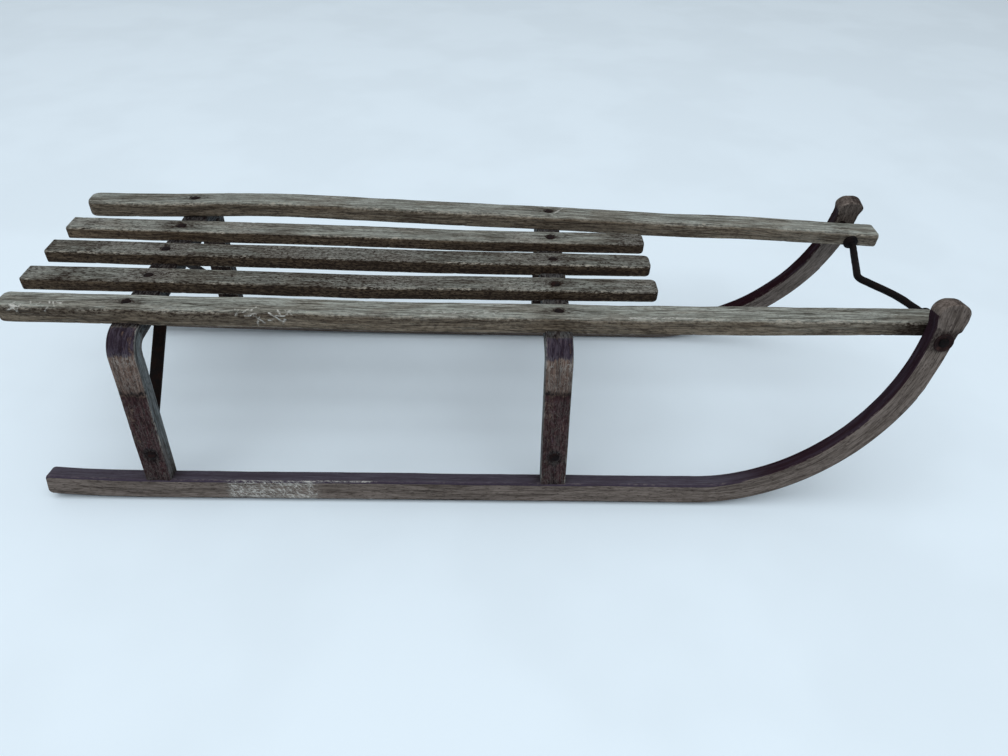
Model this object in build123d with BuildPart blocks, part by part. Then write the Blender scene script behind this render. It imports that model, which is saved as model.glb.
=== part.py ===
from build123d import *
import os
from math import asin, atan, atan2, cos, degrees, radians, sin, sqrt, tan

os.makedirs("parts", exist_ok=True)

# Stations along the sled, measured from the rear bow, positive to the front
heel_back = 136.0
bow_gap = 453.0
slat_back = 133.0
slat_ahead = 113.0
rail_back = 128.0
rail_overhang = 27.0

# Runners: bentwood bars that lean inward, upswept at the front into horns
runner_width = 18.5
runner_height = 27.0
runner_lean = 9.4
runner_foot_y = 176.6
rocker_station = -20.0
heel_rise = 4.5
bend_ahead = 170.0
bend_spread = 6.0
horn_rise = 22.0
horn_length = 14.5
tip_round = 12.0
heel_round = 6.0
runner_edge = 1.6

# Iron shoes under the runners
shoe_width = 13.0
shoe_thick = 2.0
shoe_angle = 67.0

# Bows: bentwood hoops that carry the seat
bow_width = 30.0
bow_thick = 17.5
bow_corner_y = 150.5
bow_inner_radius = 11.0
bow_edge = 2.0
tenon_length = 20.0
tenon_thick = 9.0
tenon_depth = 13.0
tenon_gap = 0.2

# Seat: three slats and two long side rails on a plane that falls to the front
seat_height = 225.4
seat_fall = 0.75
slat_width = 28.0
slat_thick = 12.3
slat_spacing = 55.3
slat_edge = 1.6
slat_nose = 7.0
rail_width = 29.5
rail_thick = 18.0
rail_edge = 5.0
rail_keel = 3.5
rail_nose = 6.0
rail_waist_y = 117.0
rail_waist_station = 155.0
rail_turn_ahead = 87.0
rail_straight = 80.0
rail_droop = 6.0

# Iron stays that brace each bow
stay_width = 14.0
stay_thick = 4.0
stay_half_flat = 32.0
stay_bend = 7.0
stay_tail = 14.0
stay_reach = 29.0

# Iron tie rod between the horns
rod_diameter = 6.5
rod_back = 4.0
rod_vee_back = 24.0
rod_vee_drop = 4.0
rod_bend = 12.0
rod_gap = 0.3
collar_diameter = 12.5
collar_thick = 5.0
bush_diameter = 16.0
bush_length = 7.0
washer_diameter = 20.5
washer_thick = 2.0
head_diameter = 13.0
head_thick = 4.0

lean = radians(runner_lean)
fall = radians(seat_fall)
slat_front = bow_gap + slat_ahead
sole_height = (runner_width + shoe_width) / 2 * sin(lean)
runner_top = shoe_thick + runner_height
runner_mid = shoe_thick + runner_height / 2
rocker_length = heel_back + rocker_station
rocker_radius = (rocker_length**2 + heel_rise**2) / (2 * heel_rise)

# The rod holes stand square to the leaning horns, so the rod drops inward from the horns to the rails.
# The bend is as wide as it must be for the holes to come out at the middle of the drooping rails.
bend_station = bow_gap + bend_ahead
rail_mid_height = seat_height + rail_thick / 2 * cos(fall) - rail_droop
rod_drop = (runner_width + bush_length) * tan(lean) + rail_width / 2 * sin(lean) / cos(lean) ** 2
rod_climb = rail_mid_height - (bend_station - rod_back) * tan(fall) - sole_height
mid_radius = (rod_climb / cos(lean) + rod_drop + horn_rise - runner_mid) / (1 + tan(fall) / cos(lean))
rod_station = bend_station + mid_radius - rod_back
rod_level = runner_mid + mid_radius - horn_rise
rail_front = rod_station + rail_overhang
middle = (rail_front - heel_back) / 2

# Each rail is one long arc in plan, widest at its waist, then a counter arc into a straight front end,
# which lies inside its horn by the length of the bush between them
horn_inner_y = runner_foot_y - rod_level * sin(lean) - runner_width * cos(lean)
rail_tip_y = horn_inner_y - bush_length * cos(lean) - rail_width / 2
rail_turn_station = bow_gap + rail_turn_ahead
rail_waist_run = rail_turn_station - rail_waist_station
rail_counter_run = rail_front - rail_straight - rail_turn_station
turn_angle = 2 * atan((rail_waist_y - rail_tip_y) / (rail_waist_run + rail_counter_run))
rail_sweep_radius = rail_waist_run / sin(turn_angle)
rail_turn_y = rail_tip_y + rail_counter_run * tan(turn_angle / 2)
rail_rear_run = rail_back + rail_waist_station
rail_rear_y = rail_waist_y - rail_sweep_radius + sqrt(rail_sweep_radius**2 - rail_rear_run**2)

# In side view each rail is straight as far as the front bow, then droops in one more arc
droop_station = bow_gap + bow_width
droop_run = rod_station - droop_station
droop_radius = (droop_run**2 + rail_droop**2) / (2 * rail_droop)
droop_angle = degrees(asin((droop_run + 2 * rail_overhang) / droop_radius))

seat_plane = Plane(
    origin=(-middle, 0, seat_height),
    x_dir=(cos(fall), 0, -sin(fall)),
    z_dir=(sin(fall), 0, cos(fall)),
)

# The outer face of each runner is a leaning plane; its local X runs forward, its local Y runs up
SIDES = [
    # side name, Y sign, how much wider its bend is, which moves its horn and rod hole forward
    ("left", 1, -bend_spread),
    ("right", -1, bend_spread),
]
BOWS = [
    # bow name, station, height of the stay rivet above the floor
    ("rear", 0.0, 65.0),
    ("front", bow_gap, 83.0),
]


def face_plane(sign, inset=0.0):
    """Plane parallel to a runner's outer face, set in by a distance across the runner."""
    return Plane(
        origin=(
            -middle,
            sign * (runner_foot_y - inset * cos(lean)),
            sole_height - inset * sin(lean),
        ),
        x_dir=(1, 0, 0),
        z_dir=(0, -cos(lean), -sign * sin(lean)),
    )


def top_plane(sign):
    """Plane of a runner's straight top face, at mid width, at the rear bow."""
    side = face_plane(sign, runner_width / 2)
    return Plane(
        origin=side.from_local_coords((0, runner_top, 0)),
        x_dir=(1, 0, 0),
        z_dir=side.y_dir,
    )


# Runners
for side, sign, shift in SIDES:
    outer = face_plane(sign)
    with BuildPart() as runner:
        with BuildSketch(outer):
            with BuildLine() as runner_line:
                sole = Line((rocker_station, runner_mid), (bend_station, runner_mid))
                CenterArc(
                    (rocker_station, runner_mid + rocker_radius),
                    rocker_radius,
                    -90,
                    -degrees(asin(rocker_length / rocker_radius)),
                )
                radius = mid_radius + shift
                bend = CenterArc((bend_station, runner_mid + radius), radius, -90, 90)
                Line(bend @ 1, bend @ 1 + Vector(0, horn_length))
            trace(line_width=runner_height)
            fillet(vertices().sort_by(Axis.Y)[-2:], radius=tip_round)
            fillet(vertices().sort_by(Axis.X)[:2], radius=heel_round)
        extrude(amount=sign * runner_width)
        cheeks = faces().sort_by(Axis((0, 0, 0), tuple(outer.z_dir)))
        chamfer(cheeks[0].edges() + cheeks[-1].edges(), length=runner_edge)
        with BuildSketch(top_plane(sign)):
            with Locations(*[(station, 0) for name, station, rivet in BOWS]):
                Rectangle(tenon_length + 2 * tenon_gap, tenon_thick + 2 * tenon_gap)
        extrude(amount=-tenon_depth - tenon_gap, mode=Mode.SUBTRACT)
        with BuildSketch(outer):
            with Locations((rod_station + shift, rod_level)):
                Circle(rod_diameter / 2 + rod_gap)
        extrude(amount=sign * runner_width, mode=Mode.SUBTRACT)
    runner.part.label = "runner_" + side
    export_step(runner.part, "parts/runner_" + side + ".step")

# Shoes: flat iron along the sole, from the heel up into the bend
for side, sign, shift in SIDES:
    with BuildPart() as shoe:
        with BuildSketch(face_plane(sign, (runner_width - shoe_width) / 2)):
            with BuildLine() as shoe_line:
                strip = Line((rocker_station, shoe_thick / 2), (bend_station, shoe_thick / 2))
                CenterArc(
                    (rocker_station, runner_mid + rocker_radius),
                    rocker_radius + (runner_height + shoe_thick) / 2,
                    -90,
                    -degrees(asin((rocker_length - heel_round) / rocker_radius)),
                )
                CenterArc(
                    (bend_station, runner_mid + mid_radius + shift),
                    mid_radius + shift + (runner_height + shoe_thick) / 2,
                    -90,
                    shoe_angle,
                )
            trace(line_width=shoe_thick)
        extrude(amount=sign * shoe_width)
    shoe.part.label = "shoe_" + side
    export_step(shoe.part, "parts/shoe_" + side + ".step")

# Bows: one steamed hoop each, square on the runners, with a tenon under each leg
foot_y = runner_foot_y - runner_top * sin(lean) - bow_thick / 2
foot_z = sole_height + runner_top * cos(lean)
cross_mid = bow_thick / 2
for name, station, rivet in BOWS:
    top_z = seat_height - station * tan(fall) + bow_width / 2 * tan(fall)
    splay = (foot_y - bow_corner_y) / (top_z - cross_mid - foot_z)
    low_z = foot_z - 10
    low_y = foot_y + 10 * splay
    bow_plane = Plane(origin=(station - middle, 0, 0), x_dir=(0, 1, 0), z_dir=(1, 0, 0))
    with BuildPart() as bow:
        with BuildSketch(bow_plane):
            with BuildLine() as bow_line:
                FilletPolyline(
                    (-low_y, low_z),
                    (-bow_corner_y, top_z - cross_mid),
                    (bow_corner_y, top_z - cross_mid),
                    (low_y, low_z),
                    radius=bow_inner_radius + bow_thick / 2,
                )
            trace(line_width=bow_thick)
        extrude(amount=bow_width / 2, both=True)
        ends = faces().sort_by(Axis.X)
        chamfer(ends[0].edges() + ends[-1].edges(), length=bow_edge)
        split(bisect_by=seat_plane, keep=Keep.BOTTOM)
        for side, sign, shift in SIDES:
            shoulder = top_plane(sign)
            with BuildSketch(shoulder):
                with Locations((station, 0)):
                    Rectangle(3 * bow_width, 3 * bow_thick)
            extrude(amount=-3 * bow_thick, mode=Mode.SUBTRACT)
            with BuildSketch(shoulder.offset(-tenon_depth)):
                with Locations((station, 0)):
                    Rectangle(tenon_length, tenon_thick)
            extrude(amount=tenon_depth + 4)
    bow.part.label = "bow_" + name
    export_step(bow.part, "parts/bow_" + name + ".step")

    # Stay: strap iron, flat under the crosspiece, then down to the inside of both legs
    leg_angle = atan2(foot_y - bow_corner_y, top_z - cross_mid - foot_z)
    inset = (bow_thick + stay_thick) / 2 / cos(leg_angle)
    flat_z = top_z - bow_thick - stay_thick / 2
    arm_z = rivet + stay_reach
    tail_z = rivet - stay_tail
    arm_y = foot_y - (arm_z - foot_z) * splay - inset
    tail_y = foot_y - (tail_z - foot_z) * splay - inset
    with BuildPart() as stay:
        with BuildSketch(bow_plane):
            with BuildLine() as stay_line:
                FilletPolyline(
                    (-tail_y, tail_z),
                    (-arm_y, arm_z),
                    (-stay_half_flat, flat_z),
                    (stay_half_flat, flat_z),
                    (arm_y, arm_z),
                    (tail_y, tail_z),
                    radius=stay_bend,
                )
            trace(line_width=stay_thick)
        extrude(amount=stay_width / 2, both=True)
    stay.part.label = "stay_" + name
    export_step(stay.part, "parts/stay_" + name + ".step")

# Slats
for label, offset_y in [("left", slat_spacing), ("centre", 0.0), ("right", -slat_spacing)]:
    slat_length = slat_back + slat_front
    with BuildPart() as slat:
        with BuildSketch(seat_plane):
            with Locations(((slat_front - slat_back) / 2, offset_y)):
                Rectangle(slat_length, slat_width)
            fillet(vertices().sort_by(Axis.X)[-2:], radius=slat_nose)
        extrude(amount=slat_thick)
        crown = faces().sort_by(Axis.Z)
        chamfer(crown[-1].edges() + crown[0].edges(), length=slat_edge)
    slat.part.label = "slat_" + label
    export_step(slat.part, "parts/slat_" + label + ".step")

# Rails: bent in and down toward the front, where each is held to a horn by the tie rod
seat_side = Plane(origin=seat_plane.origin, x_dir=seat_plane.x_dir, z_dir=(0, -1, 0))
for side, sign, shift in SIDES:
    with BuildPart() as rail:
        with BuildSketch(seat_plane):
            with BuildLine() as rail_line:
                sweepline = ThreePointArc(
                    (-rail_back, sign * rail_rear_y),
                    (rail_waist_station, sign * rail_waist_y),
                    (rail_turn_station, sign * rail_turn_y),
                )
                counter = TangentArc(
                    sweepline @ 1,
                    (rail_front - rail_straight, sign * rail_tip_y),
                    tangent=sweepline % 1,
                )
                Line(counter @ 1, (rail_front, sign * rail_tip_y))
            trace(line_width=rail_width)
            corners = vertices().sort_by(Axis.X)
            fillet(corners[:2] + corners[-2:], radius=rail_nose)
        extrude(amount=2 * rail_thick, both=True)
        with BuildSketch(seat_side):
            with BuildLine() as droop_line:
                Line((-2 * rail_back, rail_thick / 2), (droop_station, rail_thick / 2))
                CenterArc((droop_station, rail_thick / 2 - droop_radius), droop_radius, 90, -droop_angle)
            trace(line_width=rail_thick)
        extrude(amount=runner_foot_y, both=True, mode=Mode.INTERSECT)
        level = edges().filter_by(lambda e: abs(e.tangent_at(0.5).Z) < 0.5)
        rim = level.filter_by(lambda e: abs(e.center().X - droop_station + middle) > 1)
        crest = rim.filter_by(lambda e: seat_plane.to_local_coords(e.center()).Z > rail_thick / 3)
        keel = rim.filter_by(lambda e: seat_plane.to_local_coords(e.center()).Z < rail_thick / 3)
        fillet(crest, radius=rail_edge)
        chamfer(keel, length=rail_keel)
        with BuildSketch(face_plane(sign)):
            with Locations((rod_station + shift, rod_level)):
                Circle(rod_diameter / 2 + rod_gap)
        extrude(amount=sign * (runner_width + bush_length + 2 * rail_width), mode=Mode.SUBTRACT)
    rail.part.label = "rail_" + side
    export_step(rail.part, "parts/rail_" + side + ".step")

# Bushes that fill the space between a rail and its horn, and washers on the outside of the horns
for side, sign, shift in SIDES:
    rail_face = Plane(
        origin=(0, sign * (rail_tip_y + rail_width / 2), 0),
        x_dir=(1, 0, 0),
        z_dir=(0, sign, 0),
    )
    with BuildPart() as bush:
        with BuildSketch(face_plane(sign, runner_width)):
            with Locations((rod_station + shift, rod_level)):
                Circle(bush_diameter / 2)
                Circle(rod_diameter / 2 + rod_gap, mode=Mode.SUBTRACT)
        extrude(amount=sign * (bush_length + rail_width))
        split(bisect_by=rail_face, keep=Keep.TOP)
    bush.part.label = "tie_bush_" + side
    export_step(bush.part, "parts/tie_bush_" + side + ".step")

    with BuildPart() as washer:
        with BuildSketch(face_plane(sign)):
            with Locations((rod_station + shift, rod_level)):
                Circle(washer_diameter / 2)
                Circle(rod_diameter / 2 + rod_gap, mode=Mode.SUBTRACT)
        extrude(amount=-sign * washer_thick)
    washer.part.label = "tie_washer_" + side
    export_step(washer.part, "parts/tie_washer_" + side + ".step")

# Tie rod: round bar with a vee to the rear for the cord, shouldered inside the rails, headed outside the horns
collar_depth = runner_width + bush_length + rail_width / cos(lean) + collar_diameter / 2 * tan(lean) + rod_gap
bend_depth = collar_depth + collar_thick + rod_bend / 2
head_depth = -washer_thick - head_thick / 2
left_face = face_plane(1)
right_face = face_plane(-1)
left_station = rod_station - bend_spread
right_station = rod_station + bend_spread
vee_x = rod_station - rod_vee_back - middle
vee_z = rail_mid_height - rod_station * tan(fall) - rod_vee_drop
with BuildPart() as tie_rod:
    with BuildLine() as rod_line:
        FilletPolyline(
            left_face.from_local_coords((left_station, rod_level, head_depth)),
            left_face.from_local_coords((left_station, rod_level, bend_depth)),
            (vee_x, 0, vee_z),
            right_face.from_local_coords((right_station, rod_level, -bend_depth)),
            right_face.from_local_coords((right_station, rod_level, -head_depth)),
            radius=rod_bend,
        )
    with BuildSketch(Plane(origin=rod_line.line @ 0, z_dir=rod_line.line % 0)):
        Circle(rod_diameter / 2)
    sweep()
    for side, sign, shift in SIDES:
        with BuildSketch(face_plane(sign, collar_depth)):
            with Locations((rod_station + shift, rod_level)):
                Circle(collar_diameter / 2)
        extrude(amount=sign * collar_thick)
        with BuildSketch(face_plane(sign, -washer_thick)):
            with Locations((rod_station + shift, rod_level)):
                Circle(head_diameter / 2)
        extrude(amount=-sign * head_thick)
tie_rod.part.label = "tie_rod"
export_step(tie_rod.part, "parts/tie_rod.step")
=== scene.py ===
import bpy
import numpy as np
from mathutils import Matrix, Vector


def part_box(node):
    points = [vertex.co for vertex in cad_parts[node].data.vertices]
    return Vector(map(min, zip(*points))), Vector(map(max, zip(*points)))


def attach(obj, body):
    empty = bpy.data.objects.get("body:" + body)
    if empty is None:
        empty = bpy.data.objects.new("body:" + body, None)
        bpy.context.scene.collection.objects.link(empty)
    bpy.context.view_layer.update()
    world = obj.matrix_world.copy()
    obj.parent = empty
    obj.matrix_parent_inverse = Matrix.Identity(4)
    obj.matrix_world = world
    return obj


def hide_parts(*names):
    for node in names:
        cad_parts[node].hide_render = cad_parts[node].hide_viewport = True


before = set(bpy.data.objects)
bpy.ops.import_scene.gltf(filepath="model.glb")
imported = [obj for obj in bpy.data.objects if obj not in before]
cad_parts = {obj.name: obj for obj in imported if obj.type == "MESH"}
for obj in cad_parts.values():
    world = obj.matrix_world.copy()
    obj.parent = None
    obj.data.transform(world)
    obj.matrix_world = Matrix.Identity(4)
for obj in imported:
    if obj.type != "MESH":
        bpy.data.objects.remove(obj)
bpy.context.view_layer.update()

# Runners: two bars of ash, steamed and bent up into horns at the front, leaning in over their soles.
# Their tops and the hollow of the bend keep a maroon stain, and their sides have weathered to brown grey.
# The right one is scratched pale ahead of the rear bow, and its horn is worn flat outside the bend.

MILLIMETRE = 0.001
runner_width = 18.5
runner_height = 27.0
runner_lean = np.radians(9.4)
runner_foot_y = 176.6
runner_edge = 2.2
shoe_width = 13.0
shoe_thick = 2.0
heel_back = 136.0
heel_rise = {"left": 9.0, "right": 4.5}
rocker_station = {"left": 420.0, "right": -20.0}
heel_round = 6.0
bend_ahead = 170.0
horn_length = 14.5
tip_round = {"left": 12.0, "right": 13.0}
tip_rise = {"left": 2.2, "right": 0.0}
horn_flat = (166.0, 234.0)
horn_flat_depth = 2.2
horn_knob = {"left": (0.0, 3.4), "right": (3.4, 2.1)}
knob_level = 236.0
knob_back = 2.4
end_ease = 2.0
bare_tip = (11.0, 15.0)
bend_stained = {"left": 1.25, "right": 0.85}
tip_grime = {"left": 0.5, "right": 0.16}
foot_reach = 22.0
scuffed_run = (68.0, 80.0, 168.0, 186.0)
rubbed_edge_run = (150.0, 172.0, 240.0, 252.0)
scratch_middle, scratch_reach = 125.0, 58.0
scratch_count = 96
scratch_spans = ((78, 176), (-10, 12), (-1.3, -0.35), (2, 7))
scratch_fade = (1.25, 0.3)
edge_uneven = 0.26
uneven_run, ripple_run = 38.0, 13.0
sharpest_edge, fullest_edge = 0.3, 0.96
ridge_width, ridge_height = 1.8, 0.14
wave_width, wave_height = 12.0, 0.16
chip_depth, chip_run = 0.4, 6.5
chip_level = (0.56, 0.95)
grain_run = 60.0
grain_lead, grain_side = 977.0, 41.0
lattice_size = 32
grain_depth = 0.00045
bump_strength = 0.8

runner_pale = (120, 112, 107)
runner_brown = (78, 71, 66)
runner_line = (52, 45, 42)
runner_stain = (61, 54, 67)
runner_stain_deep = (27, 5, 13)
runner_dust = (104, 108, 120)
runner_rubbed = (134, 127, 121)
runner_dirt_and_shade = (40, 34, 33)
runner_soil = 0.10
scraped_white = (0.45, 0.46, 0.44, 1.0)


def box_mm(node):
    """Lowest and highest corner of a node of the frame, in millimetres."""
    low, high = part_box(node)
    return np.array(low) / MILLIMETRE, np.array(high) / MILLIMETRE


def middle_mm(node):
    """Middle of a node's box, in millimetres."""
    return np.mean(box_mm(node), axis=0)


def smooth(low, high, value):
    """Smooth step: 0 before the first edge, 1 past the second, a cubic between. Swapped edges make it fall."""
    t = np.clip((value - low) / (high - low), 0, 1)
    return t * t * (3 - 2 * t)


def band(starts, full, fades, stops, value):
    """A run with soft ends: one smooth step up where it starts, times one down where it stops."""
    return smooth(starts, full, value) * smooth(stops, fades, value)


def bump(distance, reach, power=2):
    """Soft bump: e to minus the square, or another power, of distance over reach."""
    return np.exp(-((distance / reach) ** power))


def lattice_noise(x, y, z, seed):
    """Value noise from -1 to 1: random numbers on a unit lattice, joined along each axis by smooth steps."""
    table = np.random.default_rng(seed).uniform(-1, 1, (lattice_size,) * 3)
    x, y, z = np.broadcast_arrays(x, y, z)
    cells = [np.floor(axis).astype(int) for axis in (x, y, z)]
    steps = [smooth(0, 1, axis - cell) for axis, cell in zip((x, y, z), cells)]
    total = 0
    for corner in np.ndindex(2, 2, 2):
        weight = 1
        for bit, step in zip(corner, steps):
            weight = weight * (step if bit else 1 - step)
        total = total + weight * table[tuple((cell + bit) % lattice_size for cell, bit in zip(cells, corner))]
    return total


def crowded(start, stop, step, spots):
    """Places from start to stop, a step apart, and closer near each spot (place, reach, fine step).

    The wished density is summed along the line, and the places cut that sum into equal parts."""
    line = np.linspace(start, stop, 6000)
    density = np.full_like(line, 1 / step)
    for place, reach, fine in spots:
        density = np.maximum(density, bump(line - place, reach, 4) / fine)
    count = np.concatenate([[0], np.cumsum((density[1:] + density[:-1]) / 2 * np.diff(line))])
    return np.interp(np.linspace(0, count[-1], int(count[-1]) + 1), count, line)


def inset(distance, radius):
    """How far a rounded end draws in: a quarter circle, its whole radius at the end, nothing one radius away."""
    left = np.clip(radius - distance, 0, radius)
    return radius - np.sqrt(radius**2 - left**2)


def bar_section(flat_w, flat_h, corner):
    """Columns round a bar: four flats joined by quarter rounds, anticlockwise from the lower right corner.

    Each column has a place on the inner rectangle, from -1 to 1, and its outward direction."""
    columns = []
    for quarter in range(4):
        a = quarter * np.pi / 2
        t = np.linspace(-1, 1, (flat_h, flat_w)[quarter % 2] + 1)[:-1]
        out = np.array([np.cos(a), np.sin(a)])
        ahead = np.array([-np.sin(a), np.cos(a)])
        flat = out + t[:, None] * ahead
        columns.append(np.column_stack([flat, np.tile(out, (len(t), 1))]))
        turn = a + np.linspace(0, np.pi / 2, corner + 1)[:-1]
        round_part = np.tile(out + ahead, (corner, 1))
        columns.append(np.column_stack([round_part, np.cos(turn), np.sin(turn)]))
    return np.round(np.concatenate(columns).T, 12)


def worn_bar(along, line, side, up, half_w, half_h, edge, section, seed, relief=0.0, wear=1.0):
    """Old wooden bar: a rounded section carried along a line, with uneven edges, chips and raised grain.

    A point is the line's point, plus its place across the bar times the side vector, plus its place through
    the bar times the up vector. Noise along the grain changes the edge radius and moves the skin."""
    sx, sy, nx, ny = section
    s = along[:, None]
    half_w = np.broadcast_to(np.reshape(half_w, (-1, 1)), (len(along), 1))
    half_h = np.broadcast_to(np.reshape(half_h, (-1, 1)), (len(along), 1))
    uneven = lattice_noise(s / uneven_run, sx * 1.3, sy * 1.7, seed)
    uneven = uneven + 0.5 * lattice_noise(s / ripple_run, sx * 2.1, sy * 2.3, seed + 1)
    radius = edge * (1 + edge_uneven * wear * uneven)
    radius = np.clip(radius, sharpest_edge, fullest_edge * np.minimum(half_w, half_h))
    u = sx * (half_w - radius) + nx * radius
    v = sy * (half_h - radius) + ny * radius
    corner = 2 * np.abs(nx * ny)
    chips = smooth(*chip_level, lattice_noise(s / chip_run, sx * 3.1, sy * 2.7, seed + 2)) * corner
    ridges = lattice_noise(s / grain_run, u / ridge_width, v / ridge_width, seed + 3) * ridge_height
    waves = lattice_noise(s / grain_run, u / wave_width, v / wave_width, seed + 4) * wave_height
    proud = relief + wear * (ridges + waves - chip_depth * chips)
    u = u + nx * proud
    v = v + ny * proud
    points = line[:, None] + u[..., None] * side[..., None, :] + v[..., None] * up[..., None, :]
    marks = {
        "grain": np.stack([s + 0 * u + grain_lead * (seed % 13), u + grain_side * (seed % 7), v], -1),
        "face_up": np.broadcast_to(smooth(0.15, 0.95, ny), u.shape),
        "edge": np.broadcast_to(corner, u.shape) + 0.8 * chips,
    }
    return points, marks


def carried(line, side, turn=1.0):
    """Side and up vectors along a line: up is square to the line and to the given side vector."""
    ahead = np.gradient(line, axis=0)
    ahead = ahead / np.linalg.norm(ahead, axis=1, keepdims=True)
    side = np.broadcast_to(side, line.shape)
    up = turn * np.cross(ahead, side)
    up = up / np.linalg.norm(up, axis=1, keepdims=True)
    return np.cross(up, ahead) * turn, up


def with_ends(grid):
    """Rings of a grid as one list, each end drawn in by two smaller rings, and the two poles last."""
    rings = grid.reshape(grid.shape[0], grid.shape[1], -1)
    first, last = rings[0].mean(0), rings[-1].mean(0)
    shrink = np.array([1 / 3, 2 / 3])[:, None, None]
    start = first + (rings[0] - first) * shrink
    stop = last + (rings[-1] - last) * shrink[::-1]
    rings = np.concatenate([start, rings, stop])
    return np.concatenate([rings.reshape(-1, rings.shape[2]), first[None], last[None]])


def ring_faces(rows, columns):
    """Quads between neighbouring rings, closed round, then a fan of triangles at each pole."""
    here = np.arange(rows * columns).reshape(rows, columns)
    ahead = np.roll(here, -1, axis=1)
    quads = np.stack([here[:-1], ahead[:-1], ahead[1:], here[1:]], -1).reshape(-1, 4)
    start = np.column_stack([ahead[0], here[0], np.full(columns, rows * columns)])
    stop = np.column_stack([here[-1], ahead[-1], np.full(columns, rows * columns + 1)])
    return quads, np.concatenate([start, stop])


def outward(points, quads, fans):
    """Turns the faces so that the closed skin's volume, summed from its triangles, comes out positive."""
    triangles = np.concatenate([quads[:, [0, 1, 2]], quads[:, [0, 2, 3]], fans])
    a, b, c = (points[triangles[:, k]] for k in range(3))
    if np.einsum("ij,ij->", a, np.cross(b, c)) < 0:
        return quads[:, ::-1], fans[:, ::-1]
    return quads, fans


def skin(name, shells, material, nodes=()):
    """One piece from closed shells, each a grid of rings in millimetres with its marks, set on the sled."""
    places, faces, layers, count = [], [], {}, 0
    for grid, marks in shells:
        points = with_ends(grid)
        quads, fans = ring_faces(grid.shape[0] + 4, grid.shape[1])
        quads, fans = outward(points - points.mean(0), quads, fans)
        faces += (quads + count).tolist() + (fans + count).tolist()
        places.append(points)
        count += len(points)
        for mark, values in marks.items():
            layers.setdefault(mark, []).append(with_ends(values))
    mesh = bpy.data.meshes.new(name)
    mesh.from_pydata(np.concatenate(places) * MILLIMETRE, [], faces)
    mesh.polygons.foreach_set("use_smooth", np.ones(len(faces), bool))
    for mark, values in layers.items():
        values = np.concatenate(values)
        vector = values.shape[1] == 3
        layer = mesh.attributes.new(mark, "FLOAT_VECTOR" if vector else "FLOAT", "POINT")
        layer.data.foreach_set("vector" if vector else "value", values.astype(np.float32).ravel())
    mesh.update()
    piece = bpy.data.objects.new(name, mesh)
    bpy.context.scene.collection.objects.link(piece)
    piece.data.materials.append(material)
    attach(piece, "root")
    if nodes:
        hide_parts(*nodes)


def tint(red, green, blue):
    """A colour written as it looks on screen, from 0 to 255, turned into the linear values of a shader."""
    screen = np.array([red, green, blue]) / 255
    linear = np.where(screen <= 0.04045, screen / 12.92, ((screen + 0.055) / 1.055) ** 2.4)
    return (*linear.tolist(), 1.0)


def add_node(tree, kind, inputs=(), **options):
    """Adds a shader node, sets its options, and sets or links its inputs by name or number."""
    made = tree.nodes.new("ShaderNode" + kind)
    for option, value in options.items():
        setattr(made, option, value)
    for key, value in dict(inputs).items():
        if isinstance(value, bpy.types.NodeSocket):
            tree.links.new(value, made.inputs[key])
        else:
            made.inputs[key].default_value = value
    return made


def calc(tree, operation, a, b=0.0, clamp=False):
    """One step of arithmetic on two values."""
    return add_node(tree, "Math", {0: a, 1: b}, operation=operation, use_clamp=clamp).outputs[0]


def times(tree, a, b):
    """Two values multiplied."""
    return calc(tree, "MULTIPLY", a, b)


def mixed(tree, factor, a, b, blend="MIX"):
    """Two colours mixed by a factor."""
    made = add_node(tree, "Mix", {0: factor, 6: a, 7: b}, data_type="RGBA", blend_type=blend)
    return made.outputs[2]


def ranged(tree, value, low, high, to_low=0.0, to_high=1.0):
    """A value's range mapped smoothly onto another."""
    ends = {"Value": value, "From Min": low, "From Max": high, "To Min": to_low, "To Max": to_high}
    return add_node(tree, "MapRange", ends, interpolation_type="SMOOTHSTEP").outputs["Result"]


def stretched(tree, vector, factors):
    """A vector scaled on each axis by its own factor."""
    return add_node(tree, "VectorMath", {0: vector, 1: factors}, operation="MULTIPLY").outputs[0]


def fractal(tree, vector, factors, detail, rough, distortion=0.0):
    """Noise of a vector that is first scaled on each axis by its own factor."""
    values = {"Vector": stretched(tree, vector, factors), "Scale": 1.0}
    values.update({"Detail": detail, "Roughness": rough, "Distortion": distortion})
    return add_node(tree, "TexNoise", values).outputs[0]


def new_group(name, inputs, outputs):
    """A shader node group with named sockets; gives its tree, its inputs' node and its outputs' node."""
    tree = bpy.data.node_groups.new(name, "ShaderNodeTree")
    for label, kind in inputs.items():
        tree.interface.new_socket(label, in_out="INPUT", socket_type="NodeSocket" + kind)
    for label, kind in outputs.items():
        tree.interface.new_socket(label, in_out="OUTPUT", socket_type="NodeSocket" + kind)
    return tree, tree.nodes.new("NodeGroupInput").outputs, tree.nodes.new("NodeGroupOutput").inputs


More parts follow.
